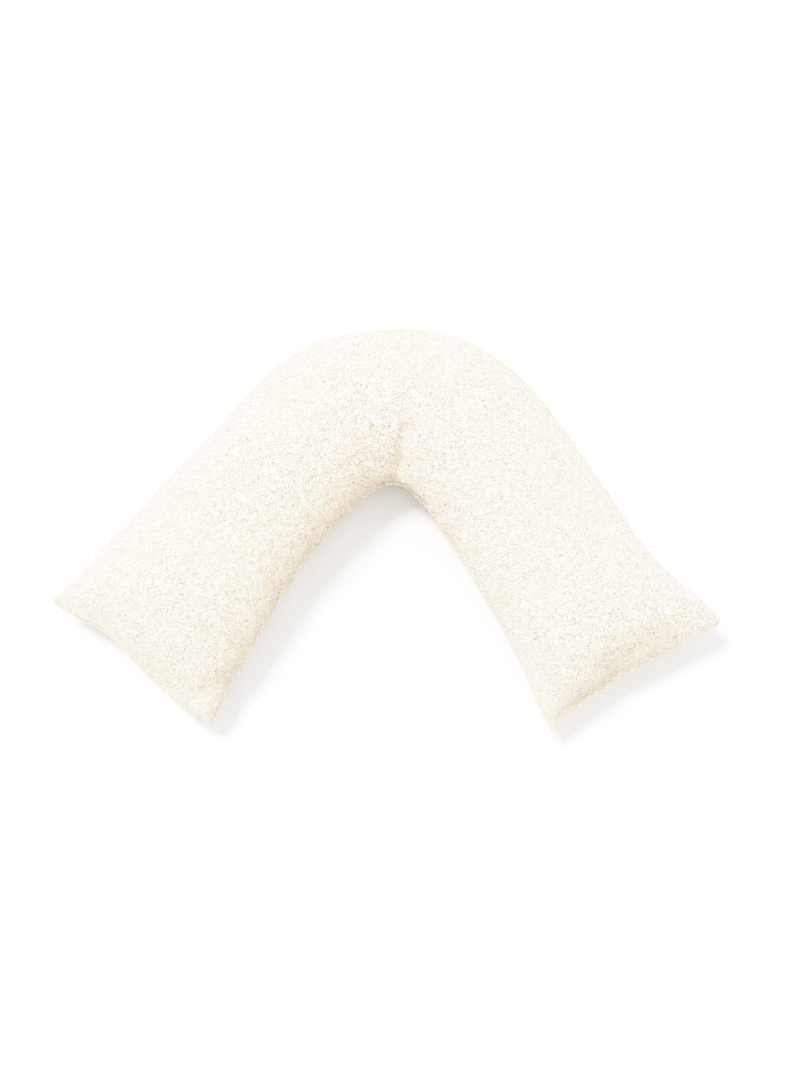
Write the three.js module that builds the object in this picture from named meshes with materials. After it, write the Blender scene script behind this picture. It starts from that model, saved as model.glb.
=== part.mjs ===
// A V-shaped bed pillow in a teddy fleece cover, lying on its back. Two V panels are sewn together
// round their edge and filled: the sides draw in, the crown rises, and the four corners stay out as ears.
// Millimetres, +Z up, +Y towards the bend, the origin under the middle of the pillow's box.
import * as THREE from "three";

// Driving dimensions
const CROWN_HEIGHT = 156; // floor to the top of the fullest section, pile included
const END_TAPER = 190; // how far in from an end seam the filling reaches its full height
const FLOOR_SINK = 24; // how far a section would reach below the floor that flattens it
const PILE_EDGE = 9; // half the thickness that the pile gives the sewn edge
const SEAM_DRAW = 4; // how deep the seam sits in that edge
const EAR_RADIUS = 18; // rounding of the four ears, seen from above
const DENT_REACH = 70; // how far in from an end its dents are felt
const STATIONS = 104; // sections made along the pillow
const AROUND = 22; // steps across one panel, from seam to seam
const END_CROWDING = 0.85; // how much closer the sections stand at the ends, from 0 to 1

// How the filling rounds the cloth, as the exponents of a superellipse
const ACROSS = { inside: 2.1, outside: 0.54 };
const ALONG = { inside: 2.3, outside: 0.64 };

// Sections along the pillow, from the left end round the bend to the right end. outer and inner are
// where the side seams run, full is the share of CROWN_HEIGHT, and the seams have their own heights.
const SECTIONS = [
  { place: "left end", outer: [-549, -116], inner: [-279, -322], full: 0.82, outerSeam: 50, innerSeam: 42 },
  { place: "left hem", outer: [-506, -79], inner: [-257, -271], full: 0.86, outerSeam: 52, innerSeam: 45 },
  { place: "left cuff", outer: [-457, -27], inner: [-228, -217], full: 0.89, outerSeam: 54, innerSeam: 49 },
  { place: "left wrist", outer: [-400, 34], inner: [-192, -155], full: 0.91, outerSeam: 57, innerSeam: 54 },
  { place: "left forearm", outer: [-335, 107], inner: [-150, -85], full: 0.93, outerSeam: 60, innerSeam: 59 },
  { place: "left elbow", outer: [-267, 178], inner: [-104, -24], full: 0.96, outerSeam: 63, innerSeam: 62 },
  { place: "left upper arm", outer: [-204, 248], inner: [-59, 25], full: 0.98, outerSeam: 66, innerSeam: 65 },
  { place: "left shoulder", outer: [-126, 303], inner: [-23, 59], full: 1.0, outerSeam: 70, innerSeam: 68 },
  { place: "left of the bend", outer: [-51, 325], inner: [-3, 69], full: 1.0, outerSeam: 74, innerSeam: 70 },
  { place: "bend", outer: [36, 331], inner: [11, 72], full: 1.0, outerSeam: 76, innerSeam: 70 },
  { place: "right of the bend", outer: [104, 323], inner: [29, 67], full: 1.0, outerSeam: 75, innerSeam: 70 },
  { place: "right shoulder", outer: [177, 289], inner: [55, 45], full: 1.0, outerSeam: 72, innerSeam: 68 },
  { place: "right upper arm", outer: [242, 233], inner: [81, 12], full: 0.99, outerSeam: 68, innerSeam: 65 },
  { place: "right elbow", outer: [302, 154], inner: [117, -43], full: 0.97, outerSeam: 65, innerSeam: 62 },
  { place: "right forearm", outer: [358, 71], inner: [156, -108], full: 0.95, outerSeam: 62, innerSeam: 59 },
  { place: "right wrist", outer: [413, -12], inner: [192, -172], full: 0.92, outerSeam: 61, innerSeam: 55 },
  { place: "right cuff", outer: [463, -70], inner: [224, -238], full: 0.9, outerSeam: 61, innerSeam: 51 },
  { place: "right hem", outer: [511, -110], inner: [244, -286], full: 0.87, outerSeam: 62, innerSeam: 48 },
  { place: "right end", outer: [550, -145], inner: [266, -332], full: 0.84, outerSeam: 64, innerSeam: 46 },
];

// Where an end seam is drawn in, or bulges where depth is negative: at runs from -1 on the outer
// corner to 1 on the inner one, and reach is in the same measure.
const END_DENTS = [
  { end: "left", at: -0.32, reach: 0.34, depth: 13 },
  { end: "left", at: 0.7, reach: 0.26, depth: -8 },
  { end: "right", at: 0.32, reach: 0.42, depth: 14 },
  { end: "right", at: -0.3, reach: 0.25, depth: 4 },
  { end: "right", at: 0.92, reach: 0.15, depth: -3 },
  { end: "right", at: -0.9, reach: 0.2, depth: -6 },
];

// Soft troughs in the upper panel. Each is deepest at from and fades out at to.
const FOLDS = [
  { fold: "crease up from the crotch", from: [17, 82], to: [46, 226], width: 15, depth: 15 },
  { fold: "hollow left of the crease", from: [-12, 88], to: [-48, 196], width: 34, depth: 12 },
  { fold: "left inner corner, upper pinch", from: [-248, -250], to: [-300, -262], width: 11, depth: 9 },
  { fold: "left inner corner, lower pinch", from: [-270, -290], to: [-318, -278], width: 10, depth: 6 },
  { fold: "left end dimple", from: [-462, -160], to: [-428, -122], width: 15, depth: 8 },
  { fold: "left outer corner", from: [-516, -118], to: [-440, -92], width: 20, depth: 5 },
  { fold: "right end dimple", from: [376, -246], to: [350, -208], width: 15, depth: 10 },
  { fold: "right inner corner pinch", from: [286, -308], to: [326, -278], width: 11, depth: 7 },
  { fold: "right outer corner", from: [508, -128], to: [412, -96], width: 22, depth: 6 },
  { fold: "left arm wrinkle, upper", from: [-150, 22], to: [-262, 64], width: 12, depth: 4 },
  { fold: "left arm wrinkle, lower", from: [-188, -22], to: [-292, 18], width: 12, depth: 3.5 },
];

// A smooth line in the plane through one side of the sections.
function sideLine(side) {
  const points = SECTIONS.map((section) => new THREE.Vector3(...section[side], 0));
  return new THREE.CatmullRomCurve3(points, false, "centripetal");
}

const OUTER_LINE = sideLine("outer");
const INNER_LINE = sideLine("inner");

// A column of the table at a place along the pillow, from 0 at the left end to 1 at the right end.
function column(name, along) {
  const at = along * (SECTIONS.length - 1);
  const row = Math.min(Math.floor(at), SECTIONS.length - 2);
  const share = THREE.MathUtils.smoothstep(at - row, 0, 1);
  return THREE.MathUtils.lerp(SECTIONS[row][name], SECTIONS[row + 1][name], share);
}

// The rounding that a filling gives cloth, from 0 at a seam to 1 at the crown, with x from 0 to 1.
function rounding(x, shape) {
  const away = Math.pow(1 - THREE.MathUtils.clamp(x, 0, 1), shape.inside);
  return Math.pow(1 - away, shape.outside);
}

// The bell that a dent or a trough has across its width.
function bell(distance, reach) {
  return Math.exp(-((distance / reach) ** 2));
}

// How far the folds lower the upper panel at a place in the plane.
function foldDepth(x, y) {
  const place = new THREE.Vector2(x, y);
  let depth = 0;
  for (const fold of FOLDS) {
    const from = new THREE.Vector2(...fold.from);
    const line = new THREE.Vector2(...fold.to).sub(from);
    const share = THREE.MathUtils.clamp(place.clone().sub(from).dot(line) / line.lengthSq(), 0, 1);
    const off = place.distanceTo(from.clone().addScaledVector(line, share));
    depth += fold.depth * (1 - share) * bell(off, fold.width);
  }
  return depth;
}

// The sections that the skin is made from, with how far each has run along the pillow's middle.
function makeSections() {
  const sections = [];
  let run = 0;
  for (let station = 0; station <= STATIONS; station += 1) {
    const even = station / STATIONS;
    const along = even - (END_CROWDING * Math.sin(2 * Math.PI * even)) / (2 * Math.PI);
    const outer = OUTER_LINE.getPoint(along);
    const inner = INNER_LINE.getPoint(along);
    const middle = outer.clone().lerp(inner, 0.5);
    if (station > 0) run += middle.distanceTo(sections[station - 1].middle);
    sections.push({ along, outer, inner, middle, run });
  }
  for (const section of sections) {
    section.atLeft = section.along < 0.5;
    section.fromEnd = section.atLeft ? section.run : run - section.run;
  }
  return sections;
}

// How far in from an end the dents move its seam, at a place across from -1 to 1.
function dentAt(section, across) {
  const felt = Math.max(1 - section.fromEnd / DENT_REACH, 0) ** 2;
  let depth = 0;
  for (const dent of END_DENTS) {
    if ((dent.end === "left") === section.atLeft) {
      depth += dent.depth * felt * bell(across - dent.at, dent.reach);
    }
  }
  return depth;
}

// The point of one panel at a station and a step across it: side is 1 for the upper panel and -1 for
// the lower one. On a seam both sides give the same point.
function panelPoint(section, station, step, side) {
  const across = -Math.cos((Math.PI * step) / AROUND);
  const half = section.inner.clone().sub(section.outer).multiplyScalar(0.5);
  const halfWidth = half.length();
  const outwards = half.clone().normalize().multiplyScalar(Math.sign(across));
  const inwards = new THREE.Vector3(-half.y, half.x, 0).normalize();
  if (!section.atLeft) inwards.negate();
  const fromSide = (1 - Math.abs(across)) * halfWidth;
  const fromEnd = section.fromEnd;
  const onSideSeam = step === 0 || step === AROUND;
  const onEndSeam = station === 0 || station === STATIONS;

  // An ear is rounded by laying the square between its two edges over a quarter disc.
  const place = section.middle.clone().addScaledVector(half, across);
  const sideShare = Math.max(1 - fromSide / EAR_RADIUS, 0);
  const endShare = Math.max(1 - fromEnd / EAR_RADIUS, 0);
  const sideShift = EAR_RADIUS * sideShare * (1 - Math.sqrt(1 - endShare ** 2 / 2));
  const endShift = EAR_RADIUS * endShare * (1 - Math.sqrt(1 - sideShare ** 2 / 2));
  place.addScaledVector(outwards, -sideShift - (onSideSeam ? SEAM_DRAW : 0));
  place.addScaledVector(inwards, endShift + dentAt(section, across) + (onEndSeam ? SEAM_DRAW : 0));

  const outerSeam = column("outerSeam", section.along);
  const innerSeam = column("innerSeam", section.along);
  const seam = THREE.MathUtils.lerp(outerSeam, innerSeam, (across + 1) / 2);
  if (onSideSeam || onEndSeam) return place.setZ(seam);
  const edge = PILE_EDGE * rounding(Math.min(fromSide, fromEnd) / PILE_EDGE, { inside: 2, outside: 0.5 });
  const rise = rounding(1 - Math.abs(across), ACROSS) * rounding(fromEnd / END_TAPER, ALONG);
  if (side < 0) return place.setZ(Math.max(seam - edge - (seam - PILE_EDGE + FLOOR_SINK) * rise, 0));
  const crown = CROWN_HEIGHT * column("full", section.along);
  const lowered = foldDepth(place.x, place.y) * Math.min(rise * 1.6, 1);
  return place.setZ(seam + edge + (crown - seam - PILE_EDGE) * rise - lowered);
}

// One closed skin: the two panels share the points of the seam that runs round them.
function pillowGeometry() {
  const positions = [];
  const index = [];
  const upper = [];
  const lower = [];
  const add = (point) => positions.push(point.x, point.y, point.z) / 3 - 1;
  makeSections().forEach((section, station) => {
    upper.push([]);
    lower.push([]);
    for (let step = 0; step <= AROUND; step += 1) {
      const onSeam = station === 0 || station === STATIONS || step === 0 || step === AROUND;
      const top = add(panelPoint(section, station, step, 1));
      upper[station].push(top);
      lower[station].push(onSeam ? top : add(panelPoint(section, station, step, -1)));
    }
  });
  for (let station = 0; station < STATIONS; station += 1) {
    for (let step = 0; step < AROUND; step += 1) {
      const corners = (panel) => [
        panel[station][step],
        panel[station][step + 1],
        panel[station + 1][step + 1],
        panel[station + 1][step],
      ];
      const [a, b, c, d] = corners(upper);
      index.push(a, b, c, a, c, d);
      const [e, f, g, h] = corners(lower);
      index.push(e, g, f, e, h, g);
    }
  }
  const geometry = new THREE.BufferGeometry();
  geometry.setAttribute("position", new THREE.Float32BufferAttribute(positions, 3));
  geometry.setIndex(index);
  geometry.computeBoundingBox();
  const centre = geometry.boundingBox.getCenter(new THREE.Vector3());
  geometry.translate(-centre.x, -centre.y, 0);
  geometry.computeVertexNormals();
  return geometry;
}

// Cream teddy fleece: a matt, curly polyester pile.
const teddyFleece = new THREE.MeshStandardMaterial({ color: "#f8f2e4", roughness: 1, metalness: 0 });
teddyFleece.name = "teddy fleece";

const pillow = new THREE.Mesh(pillowGeometry(), teddyFleece);
pillow.name = "pillow";

const group = new THREE.Group();
group.name = "v_pillow";
group.add(pillow);

export default group;
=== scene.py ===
import math

import bpy
import numpy as np
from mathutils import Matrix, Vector
from mathutils.bvhtree import BVHTree


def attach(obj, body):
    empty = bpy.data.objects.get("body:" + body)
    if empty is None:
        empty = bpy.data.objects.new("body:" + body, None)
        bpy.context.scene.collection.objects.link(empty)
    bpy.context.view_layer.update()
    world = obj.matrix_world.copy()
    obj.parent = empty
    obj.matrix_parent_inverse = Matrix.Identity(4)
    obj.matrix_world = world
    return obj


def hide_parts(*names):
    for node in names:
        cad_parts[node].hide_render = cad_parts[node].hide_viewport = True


# A V-shaped bed pillow in cream teddy fleece, lying on its back on white paper. Two V panels are
# cut, sewn round their edge and filled by cloth simulation, the filled cover settles on the CAD
# solid, and the curly pile is grown on it.

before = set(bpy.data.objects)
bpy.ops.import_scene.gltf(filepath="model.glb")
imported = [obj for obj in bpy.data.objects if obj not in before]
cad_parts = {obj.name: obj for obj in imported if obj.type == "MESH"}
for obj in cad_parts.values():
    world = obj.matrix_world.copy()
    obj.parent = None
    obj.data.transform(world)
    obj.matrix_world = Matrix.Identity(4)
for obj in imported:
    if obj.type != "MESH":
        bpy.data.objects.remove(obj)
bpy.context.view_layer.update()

# Sizes in metres
PANEL_WIDTH = 0.330  # the cut width of an arm, which the filling draws in
STATION_STEP = 0.010  # cloth points along the pillow
STEPS_ACROSS = 36  # cloth steps from seam to seam
SEAM_START = 0.050  # the height of the seam before the filling
UPPER_START = 0.054  # and of the two panels
LOWER_START = 0.046
FILLING_STEPS = 30
PILE_INSET = 0.0028  # how far the fleece's backing lies under the tips of its pile
FLOOR_INSET = 0.0022  # the same under the pillow, where the pile is pressed down
SEAM_INSET = 0.0005  # the same at the seam
SEAM_BARE = 0.0012  # no curl is rooted nearer to the seam than this
COMBED_TO_END = 0.035  # how far from an end seam the pile is combed towards it
COMBED_TO_SIDE = 0.018  # and from a side seam
CALM_AT_SEAM = 0.045  # the pile parts less, and its partings get less painted shade, the nearer to a seam it is than this
CURL_LENGTH = 0.0070  # real curls are about 5 mm long: these are as coarse as they need to show
CURL_SPACING = 0.0025
UNDER_SPACING = 0.0037  # sparser under the pillow, where the pile is pressed flat
FLOOR_GAP = 0.0002  # no curl reaches lower than this
CLUMP = 0.013  # how wide the clumps are that the curls gather in
TUFT = 0.0058  # and the small tufts
CLUMP_SINK = 0.0023  # how deep the pile parts between two clumps
WANDER = 0.010  # how far the partings wander

# Shares, and counts to a metre
CLUMP_PARTING = 0.15  # the width of a parting, of a clump
TUFT_PARTING = 0.2  # and of a tuft
CLUMP_PARTED = 0.86  # how much the pile parts between clumps, and how dark the painted shade there is, of all the way
TUFT_PARTED = 0.7  # and between tufts, the same
ROOTS_AT_MOST = 600000.0  # to a square metre: more than the spacing lets through
WANDERS = 90.0  # the turns of the partings
PARTED_SPOTS = 30.0  # the spots where the clumps part
SWIRL = 16.0  # swirls in the lie of the pile
KNIT = 180.0  # clouds in the knitted backing, whose stitches of 1 mm are too fine to show

# Where the pile parts most and its partings get the darkest painted shade, in millimetres: x, y,
# and how far it reaches.
PARTED_PATCHES = [
    (-185, 85, 85),
    (-235, 20, 60),
    (10, 150, 80),
    (-25, 190, 60),
    (95, 130, 60),
    (170, 170, 70),
    (190, -20, 80),
    (300, -150, 90),
    (380, -130, 70),
    (485, -145, 75),
    (-330, -120, 80),
]

# Fine creases of the upper panel, in millimetres: x and y of both ends, half the width, and the
# depth, which is less than 0 for a ridge.
CREASES = [
    ((20, 79), (33, 150), 9, 5.0),
    ((33, 150), (42, 212), 12, 3.0),
    ((-6, 90), (-42, 188), 16, 4.0),
    ((-242, -243), (-302, -276), 16, 3.5),
    ((-302, -276), (-335, -259), 15, 2.5),
    ((276, -313), (315, -285), 14, 4.0),
    ((358, -217), (380, -256), 14, 5.0),
    ((380, -256), (412, -250), 10, 3.0),
    ((-478, -132), (-457, -175), 13, 5.0),
    ((-262, 128), (-202, 111), 9, 2.0),
    ((-241, 98), (-181, 82), 9, 2.0),
    ((434, -79), (520, -140), 10, -2.5),
    ((528, -142), (395, -212), 27, 6.5),
    ((395, -212), (300, -290), 20, 3.0),
    ((-405, -62), (-300, -70), 14, 1.5),
]

# Where the side seams of the filled pillow run, in millimetres, from the left end round the bend to
# the right end: the outer seam's x and y, then the inner seam's.
SIDE_SEAMS = [
    (-547, -116, -278, -320),
    (-506, -79, -257, -271),
    (-457, -27, -228, -217),
    (-400, 34, -192, -155),
    (-335, 107, -150, -85),
    (-267, 178, -104, -24),
    (-204, 248, -59, 25),
    (-126, 303, -23, 59),
    (-51, 325, -3, 69),
    (36, 331, 11, 72),
    (104, 323, 29, 67),
    (177, 289, 55, 45),
    (242, 233, 81, 12),
    (302, 154, 117, -43),
    (358, 71, 156, -108),
    (413, -12, 192, -172),
    (463, -70, 224, -238),
    (511, -110, 244, -286),
    (548, -145, 266, -330),
]


def add(tree, kind, inputs=None, **settings):
    """Adds a node with its settings and its inputs: each a value, or the socket that feeds it."""
    node = tree.nodes.new(kind)
    for name, value in settings.items():
        setattr(node, name, value)
    for key, value in (inputs or {}).items():
        if isinstance(value, bpy.types.NodeSocket):
            tree.links.new(value, node.inputs[key])
        else:
            node.inputs[key].default_value = value
    return node


def linear(hex_colour):
    """An sRGB hex value as the linear colour that nodes take."""
    channels = [int(hex_colour[i : i + 2], 16) / 255 for i in (1, 3, 5)]
    return (*(c / 12.92 if c <= 0.04045 else ((c + 0.055) / 1.055) ** 2.4 for c in channels), 1.0)


def place(name, data):
    """A new object at the origin for a mesh, a light or a camera."""
    made = bpy.data.objects.new(name, data)
    bpy.context.scene.collection.objects.link(made)
    return made


def finished_mesh(name, made):
    """The mesh that an object's modifiers make, in place of the object."""
    evaluated = made.evaluated_get(bpy.context.evaluated_depsgraph_get())
    mesh = bpy.data.meshes.new_from_object(evaluated)
    bpy.data.objects.remove(made)
    mesh.name = name
    return mesh


# The panels


def smooth_line(points, steps):
    """A Catmull-Rom line through points."""
    padded = np.vstack([points[:1], points, points[-1:]])
    line = []
    for a, b, c, d in zip(padded, padded[1:], padded[2:], padded[3:]):
        for t in np.arange(steps) / steps:
            second = t**2 * (a - 2.5 * b + 2 * c - d / 2)
            third = t**3 * (1.5 * (b - c) + (d - a) / 2)
            line.append(b + t * (c - a) / 2 + second + third)
    return np.array(line + [points[-1]])


def stations(outer, inner, step):
    """Both lines at the same stations, evenly spaced along their middle."""
    middle = (outer + inner) / 2
    run = np.concatenate([[0], np.cumsum(np.linalg.norm(np.diff(middle, axis=0), axis=1))])
    at = np.linspace(0, run[-1], int(run[-1] / step) + 1)
    lines = [[np.interp(at, run, line[:, k]) for k in (0, 1)] for line in (outer, inner)]
    return [np.stack(line, 1) for line in lines]


seam_lines = smooth_line(np.array(SIDE_SEAMS, float) / 1000, 20)
outer_seam, inner_seam = stations(seam_lines[:, :2], seam_lines[:, 2:], STATION_STEP)
COUNT = len(outer_seam)
width = np.linalg.norm(inner_seam - outer_seam, axis=1)[:, None]
across = (inner_seam - outer_seam) / width
spread = (np.maximum(PANEL_WIDTH, width) - width) / 2
cut_outer, cut_inner = outer_seam - across * spread, inner_seam + across * spread

# The points of the upper and of the lower panel, as numbers in one list, with the seam's shared.
share = np.linspace(0, 1, STEPS_ACROSS + 1)
upper = np.zeros((COUNT, STEPS_ACROSS + 1), int)
lower = np.zeros_like(upper)
seam_mask = np.zeros(upper.shape, bool)
seam_mask[[0, -1], :] = seam_mask[:, [0, -1]] = True
total = 0
for panel, mask in ((upper, np.ones_like(seam_mask)), (lower, ~seam_mask)):
    panel[mask] = total + np.arange(mask.sum())
    total += mask.sum()
lower[seam_mask] = upper[seam_mask]


def quads(panel, flip):
    """The faces of one panel, turned over where they are to look down."""
    corners = [panel[:-1, :-1], panel[:-1, 1:], panel[1:, 1:], panel[1:, :-1]]
    return np.stack(corners[::-1] if flip else corners, -1).reshape(-1, 4)


faces = np.vstack([quads(upper, False), quads(lower, True)])


def panel_mesh(name, points):
    """Both panels as one mesh, joined along the seam."""
    mesh = bpy.data.meshes.new(name)
    mesh.from_pydata(points.tolist(), [], faces.tolist())
    mesh.update()
    return mesh


flat = cut_outer[:, None, :] + (cut_inner - cut_outer)[:, None, :] * share[None, :, None]
points = np.zeros((total, 3))
points[upper, :2] = flat
points[lower, :2] = flat
ripple = np.random.default_rng(3).random(upper.shape) * 0.001
points[upper, 2] = np.where(seam_mask, SEAM_START, UPPER_START + ripple)
points[lower, 2] = np.where(seam_mask, SEAM_START, LOWER_START + ripple)


# The filling


def inflate(points):
    """Fills the sewn panels by cloth simulation with pressure, on a table; gives their points."""
    cover = place("cover_in_filling", panel_mesh("cover_in_filling", points))
    ground_mesh = bpy.data.meshes.new("filling_table")
    ground_mesh.from_pydata([(-1, -1, 0), (1, -1, 0), (1, 1, 0), (-1, 1, 0)], [], [(0, 1, 2, 3)])
    ground = place("filling_table", ground_mesh)
    ground.modifiers.new("table", "COLLISION")
    ground.collision.thickness_outer = 0.004
    cloth = cover.modifiers.new("fleece", "CLOTH")
    fleece = cloth.settings
    fleece.quality = 6
    fleece.mass = 0.02
    fleece.tension_stiffness = fleece.compression_stiffness = 40
    fleece.shear_stiffness = 20
    fleece.bending_stiffness = 2
    fleece.tension_damping = fleece.compression_damping = fleece.shear_damping = 10
    fleece.air_damping = 2
    fleece.use_pressure = True
    fleece.uniform_pressure_force = 4
    fleece.effector_weights.gravity = 0.15
    cloth.collision_settings.distance_min = 0.004
    cloth.point_cache.frame_start, cloth.point_cache.frame_end = 1, FILLING_STEPS
    for step in range(1, FILLING_STEPS + 1):
        bpy.context.scene.frame_set(step)
    filled = cover.evaluated_get(bpy.context.evaluated_depsgraph_get()).data
    result = np.array([v.co for v in filled.vertices])
    bpy.context.scene.frame_set(1)
    for helper in (cover, ground):
        bpy.data.objects.remove(helper)
    return result


def blurred(field, rounds, along_only=False):
    """A field over stations and steps, smoothed, with its edges repeated beyond them."""
    for _ in range(rounds):
        grown = np.concatenate([field[:1], field, field[-1:]], 0)
        field = (grown[:-2] + 2 * grown[1:-1] + grown[2:]) / 4
        if not along_only:
            grown = np.concatenate([field[:, :1], field, field[:, -1:]], 1)
            field = (grown[:, :-2] + 2 * grown[:, 1:-1] + grown[:, 2:]) / 4
    return field


def lay_out(points):
    """Moves each station of the filled cover to its place in the V, with its own wrinkles."""
    outer = blurred(points[upper[:, 0]], 12, along_only=True)[:, :2]
    inner = blurred(points[upper[:, -1]], 12, along_only=True)[:, :2]
    was_width = np.linalg.norm(inner - outer, axis=1)[:, None]
    was_across = (inner - outer) / was_width
    was_along = np.stack([-was_across[:, 1], was_across[:, 0]], 1)
    along = np.stack([-across[:, 1], across[:, 0]], 1)
    laid = points.copy()
    for panel in (upper, lower):
        off = points[panel][..., :2] - ((outer + inner) / 2)[:, None]
        on_across = (off * was_across[:, None]).sum(-1, keepdims=True) / was_width[:, None]
        on_along = (off * was_along[:, None]).sum(-1, keepdims=True)
        middle = ((outer_seam + inner_seam) / 2)[:, None]
        laid[panel, :2] = middle + on_across * (across * width)[:, None] + on_along * along[:, None]
    return laid


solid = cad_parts["pillow"].data
solid_corners = [v.co.copy() for v in solid.vertices]


def faces_of_solid(wanted):
    """The CAD solid's faces that are wanted, as a tree to search."""
    chosen = [tuple(face.vertices) for face in solid.polygons if wanted(face.normal.z)]
    return BVHTree.FromPolygons(solid_corners, chosen)


def outline_hit(whole, start, aim, height):
    """Where the solid ends on a level line from start through aim, and how far that is from a point
    well outside."""
    along = Vector((aim[0] - start[0], aim[1] - start[1], 0)).normalized()
    far = Vector((start[0], start[1], height)) + along * 0.6
    met = whole.ray_cast(far, -along)[0]
    return met, (far - met).length if met else 9.0


def sew_to_outline(points):
    """Brings the seam to the outline of the CAD solid at the height where that is widest."""
    whole = faces_of_solid(lambda z: True)
    middle = (outer_seam + inner_seam) / 2
    rays = {}
    for i in range(COUNT):
        rays[i, 0] = middle[i], outer_seam[i]
        rays[i, STEPS_ACROSS] = middle[i], inner_seam[i]
    for end, inside in ((0, 12), (COUNT - 1, COUNT - 13)):
        for j, part_way in enumerate(share):
            on_end = outer_seam[end] * (1 - part_way) + inner_seam[end] * part_way
            rays[end, j] = middle[inside], on_end
    heights = np.arange(0.028, 0.110, 0.004)
    hits = {}
    for spot, (start, aim) in rays.items():
        tried = [outline_hit(whole, start, aim, z) for z in heights]
        met, _ = min(tried, key=lambda hit: hit[1])
        inward = Vector((start[0] - met.x, start[1] - met.y, 0)).normalized()
        hits[spot] = met + inward * SEAM_INSET
    round_the_edge = (
        [(i, 0) for i in range(COUNT)]
        + [(COUNT - 1, j) for j in range(1, STEPS_ACROSS)]
        + [(i, STEPS_ACROSS) for i in range(COUNT - 1, -1, -1)]
        + [(0, j) for j in range(STEPS_ACROSS - 1, 0, -1)]
    )
    level = np.array([hits[spot].z for spot in round_the_edge])
    for _ in range(20):
        level = (np.roll(level, 1) + 2 * level + np.roll(level, -1)) / 4
    seam_move = np.zeros((*upper.shape, 3))
    for spot, height in zip(round_the_edge, level):
        seam_move[spot] = np.array((hits[spot].x, hits[spot].y, height)) - points[upper[spot]]
    # The panels follow the seam's move smoothly, from all round.
    move = seam_move.copy()
    for _ in range(1500):
        move = blurred(move, 1)
        move[seam_mask] = seam_move[seam_mask]
    points[upper] += move
    points[lower[~seam_mask]] += move[~seam_mask]
    return points


def settle(points, rounds):
    """Brings the panels to the CAD solid, less the depth of the pile; the more rounds, the more of
    the cover's own wrinkles stay."""
    over, under = faces_of_solid(lambda z: z > 0), faces_of_solid(lambda z: z <= 0)
    for panel, half in ((upper, over), (lower, under)):
        move = np.zeros((*panel.shape, 3))
        for spot in zip(*np.nonzero(~seam_mask)):
            at = points[panel[spot]]
            met, normal, _, _ = half.find_nearest(at)
            depth = FLOOR_INSET if met.z < 0.0005 else PILE_INSET
            move[spot] = np.array(met - normal * depth) - at
        for _ in range(rounds):
            move = blurred(move, 1)
            move[seam_mask] = 0
        points[panel] += move
    return points


filled = inflate(points)
filled = lay_out(filled)
filled = sew_to_outline(filled)
for rounds in (6, 3, 1, 1):
    filled = settle(filled, rounds)
filled[:, 2] = np.maximum(filled[:, 2], FLOOR_INSET)

# The fleece's backing, one closed cover, subdivided once

sewn_mesh = panel_mesh("sewn_cover", filled)
run_along = np.arange(COUNT)[:, None] * STATION_STEP
from_seam = np.minimum(
    np.minimum(share, 1 - share)[None, :] * width,
    np.minimum(run_along, run_along[-1] - run_along),
)
seam_distance = np.zeros(total)
seam_distance[upper] = from_seam
seam_distance[lower] = from_seam
sewn_mesh.attributes.new("from_seam", "FLOAT", "POINT").data.foreach_set("value", seam_distance)
half_faces = (COUNT - 1) * STEPS_ACROSS
station_of = np.repeat(np.arange(COUNT - 1), STEPS_ACROSS)
quarter = np.digitize(station_of, [COUNT * 0.27, COUNT * 0.5, COUNT * 0.73])
part = np.concatenate([quarter, 4 + (station_of > COUNT // 2)])
sewn_mesh.attributes.new("part", "INT", "FACE").data.foreach_set("value", part.astype(np.int32))


def nearness(distance, reach):
    """1 at a seam, and falling off within its reach."""
    return np.exp(-((distance / reach) ** 2))[..., None]


# Near a seam the pile is combed towards it: a direction for each point, longer the nearer it is.
along = np.stack([-across[:, 1], across[:, 0]], 1)[:, None]
run_across = share[None, :] * width
combed = -along * nearness(run_along, COMBED_TO_END)
combed = combed + along * nearness(run_along[-1] - run_along, COMBED_TO_END)
combed = combed - 0.6 * across[:, None] * nearness(run_across, COMBED_TO_SIDE)
combed = combed + 0.6 * across[:, None] * nearness(width - run_across, COMBED_TO_SIDE)
combing = np.zeros((total, 3))
combing[upper, :2] = combed
combing[lower, :2] = combed
combed_field = sewn_mesh.attributes.new("combed", "FLOAT_VECTOR", "POINT")
combed_field.data.foreach_set("vector", combing.ravel())

# In the UV map the upper panel lies above the lower one, with a margin round each.
layout = np.zeros((len(faces), 4, 2))
step_of = np.tile(np.arange(STEPS_ACROSS), COUNT - 1)
for corner, (ds, dt) in enumerate(((0, 0), (0, 1), (1, 1), (1, 0))):
    u = (station_of + ds) / (COUNT - 1)
    v = (step_of + dt) / STEPS_ACROSS
    layout[:half_faces, corner] = np.stack([0.01 + 0.98 * u, 0.51 + 0.48 * v], 1)
    layout[half_faces:, 3 - corner] = np.stack([0.01 + 0.98 * u, 0.01 + 0.48 * v], 1)
sewn_mesh.uv_layers.new(name="OFBake").data.foreach_set("uv", layout.ravel())
sewn_mesh.polygons.foreach_set("use_smooth", [True] * len(faces))

# The seam stays a sharp line when the cover is subdivided.
on_seam = np.zeros(total, bool)
on_seam[upper[seam_mask]] = True
edge_ends = np.array([edge.vertices[:] for edge in sewn_mesh.edges])
seam_edges = on_seam[edge_ends].all(1).astype(float)
sewn_mesh.attributes.new("crease_edge", "FLOAT", "EDGE").data.foreach_set("value", seam_edges)

smooth_cover = place("smooth_cover", sewn_mesh)
rounder = smooth_cover.modifiers.new("round", "SUBSURF")
rounder.levels = rounder.render_levels = 1
cover_mesh = finished_mesh("fleece_backing", smooth_cover)

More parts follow.
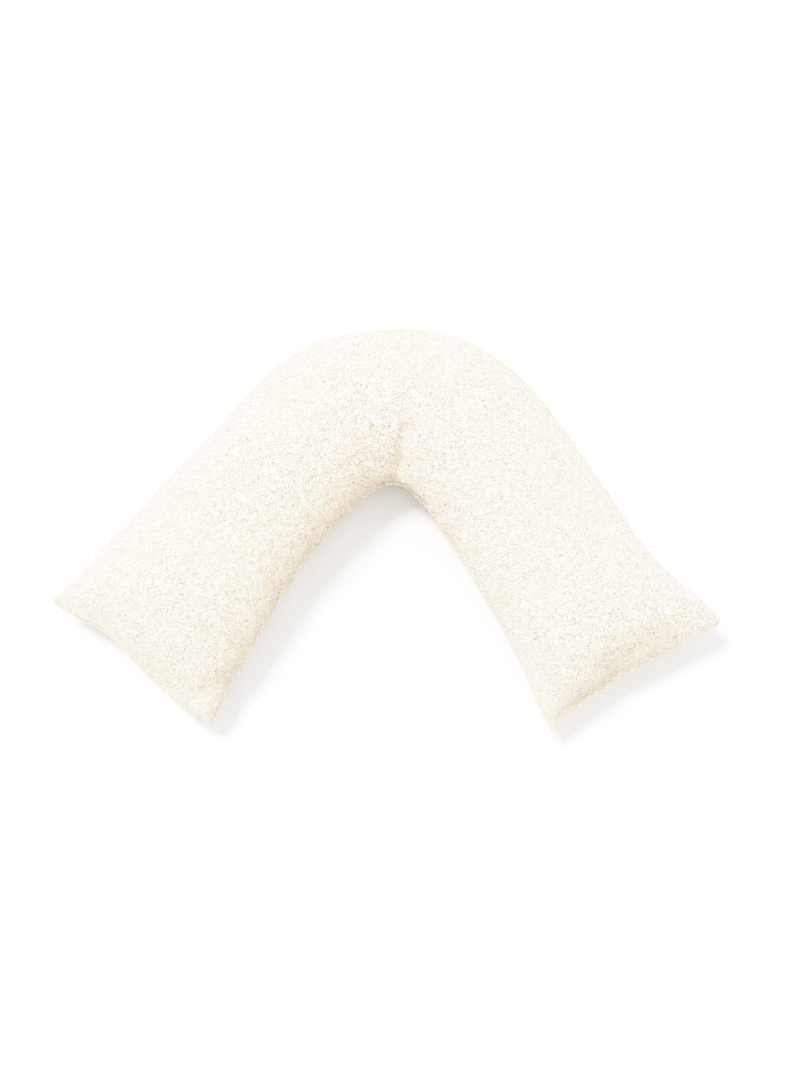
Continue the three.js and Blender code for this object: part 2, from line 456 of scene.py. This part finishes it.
places = np.zeros(len(cover_mesh.vertices) * 3)
cover_mesh.vertices.foreach_get("co", places)
places = places.reshape(-1, 3)
outward = np.zeros(places.size)
cover_mesh.vertices.foreach_get("normal", outward)
outward = outward.reshape(-1, 3)
to_seam = np.zeros(len(places))
cover_mesh.attributes["from_seam"].data.foreach_get("value", to_seam)
on_top = np.clip(outward[:, 2] * 3, 0, 1)
crease = np.zeros(len(places))
for start, end, half_width, depth in CREASES:
    start, end = np.array(start) / 1000, np.array(end) / 1000
    line = end - start
    part_way = np.clip((places[:, :2] - start) @ line / (line**2).sum(), 0, 1)
    off = np.linalg.norm(places[:, :2] - start - part_way[:, None] * line, axis=1)
    crease += depth / 1000 * np.exp(-((off / half_width * 1000) ** 2))
crease *= on_top * np.clip(to_seam / 0.012, 0, 1)
places -= outward * crease[:, None]
cover_mesh.vertices.foreach_set("co", places.ravel())

# How much wear the pile has, and how dark the painted shade of its partings is, from 0 to 1: in
# patches, and less near the seams outside them.
patched = np.zeros(len(places))
for x, y, reach in PARTED_PATCHES:
    off = np.linalg.norm(places[:, :2] * 1000 - (x, y), axis=1)
    patched = np.maximum(patched, np.exp(-((off / reach) ** 2)))
near_seam = 0.35 + 0.65 * np.clip(np.maximum(to_seam / CALM_AT_SEAM, patched), 0, 1)
# This sets both how much the pile parts and how dark the painted shade of its partings is.
wear_and_shade = (0.74 + 0.19 * patched * on_top) * near_seam
cover_mesh.attributes.new("wear_and_shade", "FLOAT", "POINT").data.foreach_set("value", wear_and_shade)
cover_mesh.update()


# The pile


def thin_lines(tree, here, cell, share, strength):
    """A net of thin lines round cells, as a strength that falls to 0 beside each line."""
    cells = {"Vector": here, "Scale": 1 / cell}
    net = add(tree, "ShaderNodeTexVoronoi", cells, feature="DISTANCE_TO_EDGE")
    line = {"Value": net.outputs[0], "From Max": share, "To Min": strength, "To Max": 0.0}
    return add(tree, "ShaderNodeMapRange", line, interpolation_type="SMOOTHSTEP").outputs[0]


def partings(tree, here, wear_and_shade):
    """How much the pile is parted at a place: it parts in thin wandering lines between its clumps,
    in some spots more than in others, and less between its tufts; and all of it more where the pile
    has more wear. The pile tree sinks the curls along these lines, and the fleece material paints
    them as lines of painted shade. The lines cut nearly straight down, so a curl that crosses one
    shows the painted shade at any height."""
    noise = {"Vector": here, "Scale": WANDERS, "Detail": 1.0}
    wander = add(tree, "ShaderNodeTexNoise", noise).outputs["Color"]
    wander = add(tree, "ShaderNodeVectorMath", {0: wander, "Scale": WANDER}, operation="SCALE")
    moved = add(tree, "ShaderNodeVectorMath", {0: here, 1: wander.outputs[0]}, operation="ADD")
    squashed = {0: moved.outputs[0], 1: (1.0, 1.0, 0.5)}
    at = add(tree, "ShaderNodeVectorMath", squashed, operation="MULTIPLY").outputs[0]
    noise = {"Vector": here, "Scale": PARTED_SPOTS, "Detail": 2.0}
    spots = add(tree, "ShaderNodeTexNoise", noise).outputs[0]
    spots = {"Value": spots, "From Min": 0.3, "From Max": 0.6}
    spots = add(tree, "ShaderNodeMapRange", spots).outputs[0]
    clumps = thin_lines(tree, at, CLUMP, CLUMP_PARTING, CLUMP_PARTED)
    clumps = add(tree, "ShaderNodeMath", {0: clumps, 1: spots}, operation="MULTIPLY").outputs[0]
    tufts = thin_lines(tree, at, TUFT, TUFT_PARTING, TUFT_PARTED)
    parted = add(tree, "ShaderNodeMath", {0: clumps, 1: tufts}, operation="MAXIMUM").outputs[0]
    return add(tree, "ShaderNodeMath", {0: parted, 1: wear_and_shade}, operation="MULTIPLY").outputs[0]


def new_tree(title, made, inputs):
    """A tree for a modifier, with its inputs named, and the outputs of its input node."""
    tree = bpy.data.node_groups.new(title, "GeometryNodeTree")
    tree.is_modifier = True
    for name, kind in inputs.items():
        tree.interface.new_socket(name, in_out="INPUT", socket_type="NodeSocket" + kind)
    tree.interface.new_socket(made, in_out="OUTPUT", socket_type="NodeSocketGeometry")
    return tree, add(tree, "NodeGroupInput").outputs


def grown_mesh(name, source, tree, **sizes):
    """A mesh run through a tree, as a plain mesh of its own."""
    worked = place(name + "_at_work", source)
    work = worked.modifiers.new("growth", "NODES")
    work.node_group = tree
    given = [item for item in tree.interface.items_tree if item.in_out == "INPUT"]
    sockets = {item.name: item.identifier for item in given}
    for title, value in sizes.items():
        work[sockets[title]] = value
    return finished_mesh(name, worked)


def curl(tree, bend):
    """One curl of the pile as an instance, 1 long: a tapered tube, bent by four points."""
    start, first, second, end = bend
    path = add(
        tree,
        "GeometryNodeCurvePrimitiveBezierSegment",
        {"Resolution": 12, "Start": start, "Start Handle": first, "End Handle": second, "End": end},
    )
    path = add(tree, "GeometryNodeResampleCurve", {"Curve": path.outputs[0], "Count": 3})
    upright = add(tree, "GeometryNodeSetCurveNormal", {"Curve": path.outputs[0]}, mode="Z_UP")
    along = add(tree, "GeometryNodeSplineParameter").outputs["Factor"]
    swell = add(tree, "ShaderNodeMath", {0: along, 1: math.pi}, operation="MULTIPLY")
    swell = add(tree, "ShaderNodeMath", {0: swell.outputs[0]}, operation="SINE")
    taper = {0: swell.outputs[0], 1: 0.45, 2: 0.55}
    swell = add(tree, "ShaderNodeMath", taper, operation="MULTIPLY_ADD")
    ring = add(tree, "GeometryNodeCurvePrimitiveCircle", {"Resolution": 3, "Radius": 0.2})
    wedge = add(
        tree,
        "GeometryNodeTransform",
        {"Geometry": ring.outputs[0], "Rotation": (0, 0, math.pi / 2), "Scale": (1.15, 0.85, 1.0)},
    )
    tube = add(
        tree,
        "GeometryNodeCurveToMesh",
        {
            "Curve": upright.outputs[0],
            "Profile Curve": wedge.outputs[0],
            "Scale": swell.outputs[0],
            "Fill Caps": True,
        },
    )
    # The tip attribute runs from 0.5 low on the curl to 1 at its top: the fleece material uses it
    # to paint the curl darker lower down, as painted shade.
    at = add(tree, "GeometryNodeInputPosition").outputs[0]
    height = add(tree, "ShaderNodeSeparateXYZ", {0: at}).outputs["Z"]
    top = {"Value": height, "From Min": -0.03, "From Max": 0.2, "To Min": 0.5}
    tip = add(tree, "ShaderNodeMapRange", top)
    marked = add(
        tree,
        "GeometryNodeStoreNamedAttribute",
        {"Geometry": tube.outputs[0], "Name": "tip", "Value": tip.outputs[0]},
        data_type="FLOAT",
        domain="POINT",
    )
    lift = {"Geometry": marked.outputs[0], "Translation": (0, 0, 0.04)}
    lifted = add(tree, "GeometryNodeTransform", lift)
    return add(tree, "GeometryNodeGeometryToInstance", {0: lifted.outputs[0]}).outputs[0]


def teddy_pile():
    """The tree that grows one part of the pile on the backing."""
    tree, given = new_tree(
        "teddy pile",
        "Pile",
        {
            "Cover": "Geometry",
            "Part": "Int",
            "Curl length": "Float",
            "Spacing": "Float",
            "Swirl": "Float",
            "Clump sink": "Float",
            "Bare at seam": "Float",
            "Seed": "Int",
            "Material": "Material",
        },
    )
    here = add(tree, "GeometryNodeInputPosition").outputs[0]
    named = "GeometryNodeInputNamedAttribute"
    wear_and_shade = add(tree, named, {"Name": "wear_and_shade"}, data_type="FLOAT").outputs[0]
    parted = partings(tree, here, wear_and_shade)

    # One root to a curl, clear of the seam, and only those of the part that is wanted
    seam = add(tree, named, {"Name": "from_seam"}, data_type="FLOAT").outputs[0]
    clear = {0: seam, 1: given["Bare at seam"]}
    clear = add(tree, "FunctionNodeCompare", clear, operation="GREATER_THAN")
    roots = add(
        tree,
        "GeometryNodeDistributePointsOnFaces",
        {
            "Mesh": given["Cover"],
            "Distance Min": given["Spacing"],
            "Density Max": ROOTS_AT_MOST,
            "Density Factor": clear.outputs[0],
            "Seed": given["Seed"],
        },
        distribute_method="POISSON",
    )
    part = add(tree, named, {"Name": "part"}, data_type="INT").outputs[0]
    other = {2: part, 3: given["Part"]}
    other = add(tree, "FunctionNodeCompare", other, data_type="INT", operation="NOT_EQUAL")
    roots_here = add(
        tree,
        "GeometryNodeDeleteGeometry",
        {"Geometry": roots.outputs["Points"], "Selection": other.outputs[0]},
        domain="POINT",
    )
    rooted = add(
        tree,
        "GeometryNodeStoreNamedAttribute",
        {"Geometry": roots_here.outputs[0], "Name": "outward", "Value": roots.outputs["Normal"]},
        data_type="FLOAT_VECTOR",
        domain="POINT",
    )

    # Each curl lies much as its neighbours do, and as it is combed near a seam. Input 8 of a random
    # value is its seed.
    bends = [
        ((-0.5, -0.07, 0), (-0.2, 0.18, 0.06), (0.2, 0.18, 0.06), (0.5, -0.07, 0)),
        ((-0.5, 0.03, 0), (-0.15, -0.06, 0.05), (0.15, -0.06, 0.05), (0.5, 0.02, 0)),
        ((-0.4, 0.16, 0), (-0.4, -0.3, 0.08), (0.4, -0.26, 0.04), (0.4, 0.1, 0)),
    ]
    curls = add(tree, "GeometryNodeJoinGeometry")
    for bend in bends:
        tree.links.new(curl(tree, bend), curls.inputs[0])
    which = add(tree, "FunctionNodeRandomValue", {4: 0, 5: 2, 8: 1}, data_type="INT")
    lie = add(tree, "ShaderNodeTexNoise", {"Scale": given["Swirl"], "Detail": 1.0}).outputs[0]
    stray = {2: -1.3, 3: 1.3, 8: 2}
    stray = add(tree, "FunctionNodeRandomValue", stray, data_type="FLOAT").outputs[1]
    spin = {0: lie, 1: 6 * math.pi, 2: stray}
    spin = add(tree, "ShaderNodeMath", spin, operation="MULTIPLY_ADD").outputs[0]
    combed = add(tree, named, {"Name": "combed"}, data_type="FLOAT_VECTOR").outputs[0]
    held = add(tree, "ShaderNodeVectorMath", {0: combed}, operation="LENGTH").outputs["Value"]
    free = add(tree, "ShaderNodeMapRange", {"Value": held, "To Min": 1.0, "To Max": 0.04})
    spin = add(tree, "ShaderNodeMath", {0: spin, 1: free.outputs[0]}, operation="MULTIPLY")
    turn = {"Axis": (0, 0, 1), "Angle": spin.outputs[0]}
    turn = add(tree, "FunctionNodeAxisAngleToRotation", turn)
    to_seam = add(
        tree,
        "FunctionNodeAlignRotationToVector",
        {"Rotation": roots.outputs["Rotation"], "Vector": combed},
        axis="X",
        pivot_axis="Z",
    )
    tilt = {2: -0.3, 3: 0.3, 8: 3}
    tilt = add(tree, "FunctionNodeRandomValue", tilt, data_type="FLOAT").outputs[1]
    lean = add(tree, "FunctionNodeAxisAngleToRotation", {"Axis": (0, 1, 0), "Angle": tilt})
    turned = add(
        tree,
        "FunctionNodeRotateRotation",
        {"Rotation": to_seam.outputs[0], "Rotate By": turn.outputs[0]},
        rotation_space="LOCAL",
    )
    leant = add(
        tree,
        "FunctionNodeRotateRotation",
        {"Rotation": turned.outputs[0], "Rotate By": lean.outputs[0]},
        rotation_space="LOCAL",
    )
    growth = {2: 0.72, 3: 1.22, 8: 4}
    growth = add(tree, "FunctionNodeRandomValue", growth, data_type="FLOAT").outputs[1]
    length = {0: given["Curl length"], 1: growth}
    length = add(tree, "ShaderNodeMath", length, operation="MULTIPLY")
    planted = add(
        tree,
        "GeometryNodeInstanceOnPoints",
        {
            "Points": rooted.outputs[0],
            "Instance": curls.outputs[0],
            "Pick Instance": True,
            "Instance Index": which.outputs[2],
            "Rotation": leant.outputs[0],
            "Scale": length.outputs[0],
        },
    )
    shade = {2: 0.0, 3: 1.0, 8: 5}
    shade = add(tree, "FunctionNodeRandomValue", shade, data_type="FLOAT").outputs[1]
    toned = add(
        tree,
        "GeometryNodeStoreNamedAttribute",
        {"Geometry": planted.outputs[0], "Name": "tone", "Value": shade},
        data_type="FLOAT",
        domain="INSTANCE",
    )
    grown = add(tree, "GeometryNodeRealizeInstances", {0: toned.outputs[0]})

    # The pile is sunk where it parts.
    sink = add(tree, "ShaderNodeMath", {0: parted, 1: given["Clump sink"]}, operation="MULTIPLY")
    sink = add(tree, "ShaderNodeMath", {0: sink.outputs[0], 1: -1.0}, operation="MULTIPLY")
    outward = add(tree, named, {"Name": "outward"}, data_type="FLOAT_VECTOR").outputs[0]
    offset = {0: outward, "Scale": sink.outputs[0]}
    offset = add(tree, "ShaderNodeVectorMath", offset, operation="SCALE").outputs[0]
    sunk = {"Geometry": grown.outputs[0], "Offset": offset}
    grown = add(tree, "GeometryNodeSetPosition", sunk)

    # No curl goes through the floor: what would is pressed flat on it.
    here = add(tree, "GeometryNodeInputPosition").outputs[0]
    at = add(tree, "ShaderNodeSeparateXYZ", {0: here}).outputs
    pressed = {0: at["Z"], 1: FLOOR_GAP}
    pressed = add(tree, "ShaderNodeMath", pressed, operation="MAXIMUM").outputs[0]
    spot = add(tree, "ShaderNodeCombineXYZ", {0: at["X"], 1: at["Y"], 2: pressed}).outputs[0]
    rested = {"Geometry": grown.outputs[0], "Position": spot}
    resting = add(tree, "GeometryNodeSetPosition", rested)
    soft = add(tree, "GeometryNodeSetShadeSmooth", {"Geometry": resting.outputs[0]})
    covered = {"Geometry": soft.outputs[0], "Material": given["Material"]}
    covered = add(tree, "GeometryNodeSetMaterial", covered)
    add(tree, "NodeGroupOutput", {0: covered.outputs[0]})
    return tree


# Materials


def principled(name):
    """A new material, its tree and its shader."""
    material = bpy.data.materials.new(name)
    material.use_nodes = True
    return material, material.node_tree, material.node_tree.nodes["Principled BSDF"]


def teddy_fleece():
    """Polyester teddy fleece: crimped knitted pile, matt, near white at its tips, with painted
    shade lower down on each curl and painted shadow lines along its partings."""
    material, tree, shader = principled("cream teddy fleece")
    tip = add(tree, "ShaderNodeAttribute", attribute_name="tip")
    tone = add(tree, "ShaderNodeAttribute", attribute_name="tone")
    wear_and_shade = add(tree, "ShaderNodeAttribute", attribute_name="wear_and_shade")
    here = add(tree, "ShaderNodeTexCoord")
    parted = partings(tree, here.outputs["Object"], wear_and_shade.outputs["Fac"])
    # Painted shade: the colour darkens lower down on each curl, by its tip attribute, and falls to
    # a grey brown along the partings, as painted shadow lines.
    height = {0: parted, 1: -0.9, 2: tip.outputs["Fac"]}
    height = add(tree, "ShaderNodeMath", height, operation="MULTIPLY_ADD")
    depth = add(tree, "ShaderNodeValToRGB", {0: height.outputs[0]})
    ramp = depth.color_ramp
    ramp.elements[0].color, ramp.elements[1].color = linear("#948C7E"), linear("#FCEFDE")
    ramp.elements[1].position = 0.85
    ramp.elements.new(0.5).color = linear("#F4E8D8")
    uneven = add(
        tree,
        "ShaderNodeMix",
        {"Factor": tone.outputs["Fac"], 6: linear("#F9F5EE"), 7: linear("#FFFFFE")},
        data_type="RGBA",
    )
    colour = add(
        tree,
        "ShaderNodeMix",
        {"Factor": 1.0, 6: depth.outputs[0], 7: uneven.outputs[2]},
        data_type="RGBA",
        blend_type="MULTIPLY",
    )
    tree.links.new(colour.outputs[2], shader.inputs["Base Color"])
    shader.inputs["Roughness"].default_value = 0.95
    shader.inputs["Specular IOR Level"].default_value = 0.2
    shader.inputs["Sheen Weight"].default_value = 1.0
    shader.inputs["Sheen Roughness"].default_value = 0.45
    return material


def knitted_backing():
    """Cream knitted backing, matt, in which the pile is rooted: it shows only deep in the partings
    and along the seam."""
    material, tree, shader = principled("cream knitted backing")
    here = add(tree, "ShaderNodeTexCoord")
    clouds = {"Vector": here.outputs["Object"], "Scale": KNIT}
    uneven = add(tree, "ShaderNodeTexNoise", clouds)
    colour = add(
        tree,
        "ShaderNodeMix",
        {"Factor": uneven.outputs[0], 6: linear("#EEE6DA"), 7: linear("#F4EEE4")},
        data_type="RGBA",
    )
    tree.links.new(colour.outputs[2], shader.inputs["Base Color"])
    shader.inputs["Roughness"].default_value = 0.95
    shader.inputs["Specular IOR Level"].default_value = 0.2
    return material


cover_mesh.materials.append(knitted_backing())
cover = place("fleece_backing", cover_mesh)
fleece = teddy_fleece()
pile_tree = teddy_pile()
pile = []
PARTS = ["left_arm", "left_shoulder", "right_shoulder", "right_arm"]
PARTS += ["left_underside", "right_underside"]
for number, name in enumerate(PARTS):
    sizes = {
        "Part": number,
        "Curl length": CURL_LENGTH,
        "Spacing": UNDER_SPACING if "under" in name else CURL_SPACING,
        "Swirl": SWIRL,
        "Clump sink": CLUMP_SINK,
        "Bare at seam": SEAM_BARE,
        "Seed": 11,
        "Material": fleece,
    }
    title = "pile_" + name
    pile.append(place(title, grown_mesh(title, cover_mesh, pile_tree, **sizes)))

for piece in (cover, *pile):
    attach(piece, "root")
    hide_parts("pillow")

# The floor, the light and the camera

floor_mesh = bpy.data.meshes.new("floor")
floor_corners = [(-30, -30, 0), (30, -30, 0), (30, 30, 0), (-30, 30, 0)]
floor_mesh.from_pydata(floor_corners, [], [(0, 1, 2, 3)])
floor = place("floor", floor_mesh)
# Matt white coated paper, lit up to pure white: nearly no gloss, and it keeps the shadows pale.
paper, _, paper_shader = principled("matt white paper")
paper_shader.inputs["Base Color"].default_value = linear("#FAFAFA")
paper_shader.inputs["Roughness"].default_value = 0.9
paper_shader.inputs["Specular IOR Level"].default_value = 0.1
floor_mesh.materials.append(paper)

scene = bpy.context.scene
scene.view_settings.view_transform = "Standard"
scene.view_settings.look = "None"

# The photograph's bright tones are rolled off softly up to its white.
WHITE = 1.3
TONES = [(0.45, 0.52), (0.6, 0.72), (0.7, 0.815), (0.82, 0.89), (0.98, 0.945), (1.16, 0.98)]
roll_off = scene.view_settings.curve_mapping
roll_off.white_level = (WHITE, WHITE, WHITE)
for light_in, light_out in TONES:
    roll_off.curves[3].points.new(light_in / WHITE, light_out)
roll_off.update()
scene.view_settings.use_curve_mapping = True
world = bpy.data.worlds.new("white studio")
world.use_nodes = True
world.node_tree.nodes["Background"].inputs["Color"].default_value = (1, 1, 1, 1)
world.node_tree.nodes["Background"].inputs["Strength"].default_value = 0.71
scene.world = world

# A key light from the upper left, and a broad fill from the lower right: name, energy, spread in
# degrees, and where it comes from
LIGHTS = [("key", 2.3, 16, (-0.45, 0.55, 0.95)), ("fill", 0.56, 100, (0.72, -0.32, 0.7))]
for name, energy, spread, side in LIGHTS:
    light_data = bpy.data.lights.new(name, "SUN")
    light_data.energy = energy
    light_data.angle = math.radians(spread)
    light = place(name, light_data)
    light.rotation_euler = Vector(side).to_track_quat("Z", "Y").to_euler()

camera_data = bpy.data.cameras.new("camera")
camera_data.lens = 50
camera_data.sensor_width = 36
camera = place("camera", camera_data)
look_at = Vector((0.022, -0.0108, 0.075))
elevation = math.radians(83)
towards = Vector((0, -math.cos(elevation), math.sin(elevation)))
camera.location = look_at + towards * 2.4035
camera.rotation_euler = towards.to_track_quat("Z", "Y").to_euler()
scene.camera = camera
